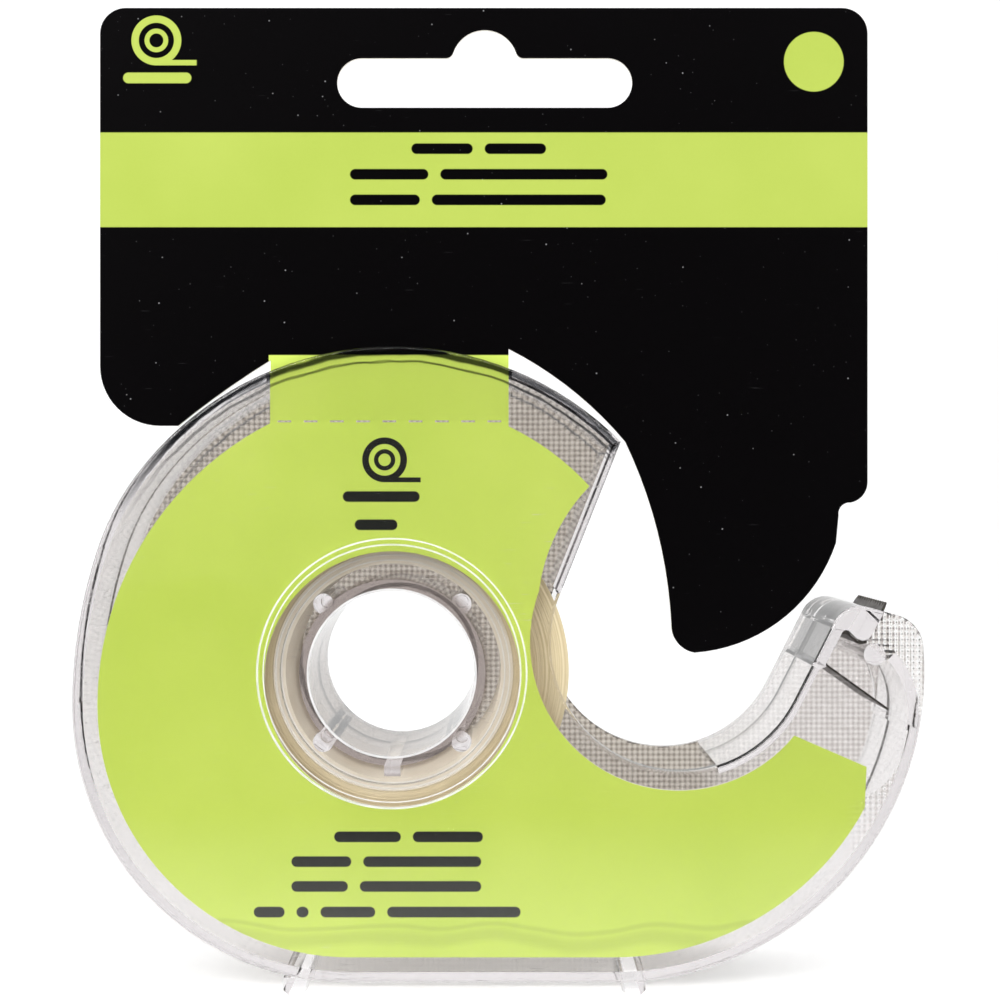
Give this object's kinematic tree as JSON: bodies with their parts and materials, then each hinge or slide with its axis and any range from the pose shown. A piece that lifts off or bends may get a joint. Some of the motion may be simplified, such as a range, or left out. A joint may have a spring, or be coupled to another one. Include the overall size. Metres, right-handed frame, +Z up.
{
  "type": "hand tape dispenser",
  "caption": "Clear snail-shaped hand dispenser holding a spinning roll of narrow tape, with a bent toothed cutter and a tear-off printed hang card.",
  "frame": {"origin": "hub axis at mid width of the body", "axes": "+X from the hub towards the cutter nose, +Y along the hub axis from the front wall to the back wall, +Z up from the feet to the hang card"},
  "size_m": [0.0994, 0.0176, 0.1155],
  "materials": {
    "clear_front": "clear polished moulding with a frosted rim",
    "clear_back": "clear moulding with fine dimples inside the wall",
    "blade_steel": "dull rolled strip",
    "core_plastic": "matte beige tube",
    "wound_tape": "wound clear film, amber seen edge on",
    "green_card": "printed coated card",
    "black_card": "printed coated card, black with a green stripe"
  },
  "bodies": {
    "case": {"front_shell": "clear_front", "back_shell": "clear_back", "cutter_blade": "blade_steel", "insert_card": "green_card"},
    "roll": {"tape_core": "core_plastic", "tape_roll": "wound_tape"},
    "header": {"header_card": "black_card"}
  },
  "joints": [
    {"name": "roll_spin", "type": "hinge", "parent": "case", "child": "roll", "pos_m": [0, 0, 0], "axis": [0, 1, 0], "continuous": true},
    {"name": "header_pull", "type": "slide", "parent": "case", "child": "header", "axis": [0, 0, 1], "range_m": [0, 0.02]}
  ]
}
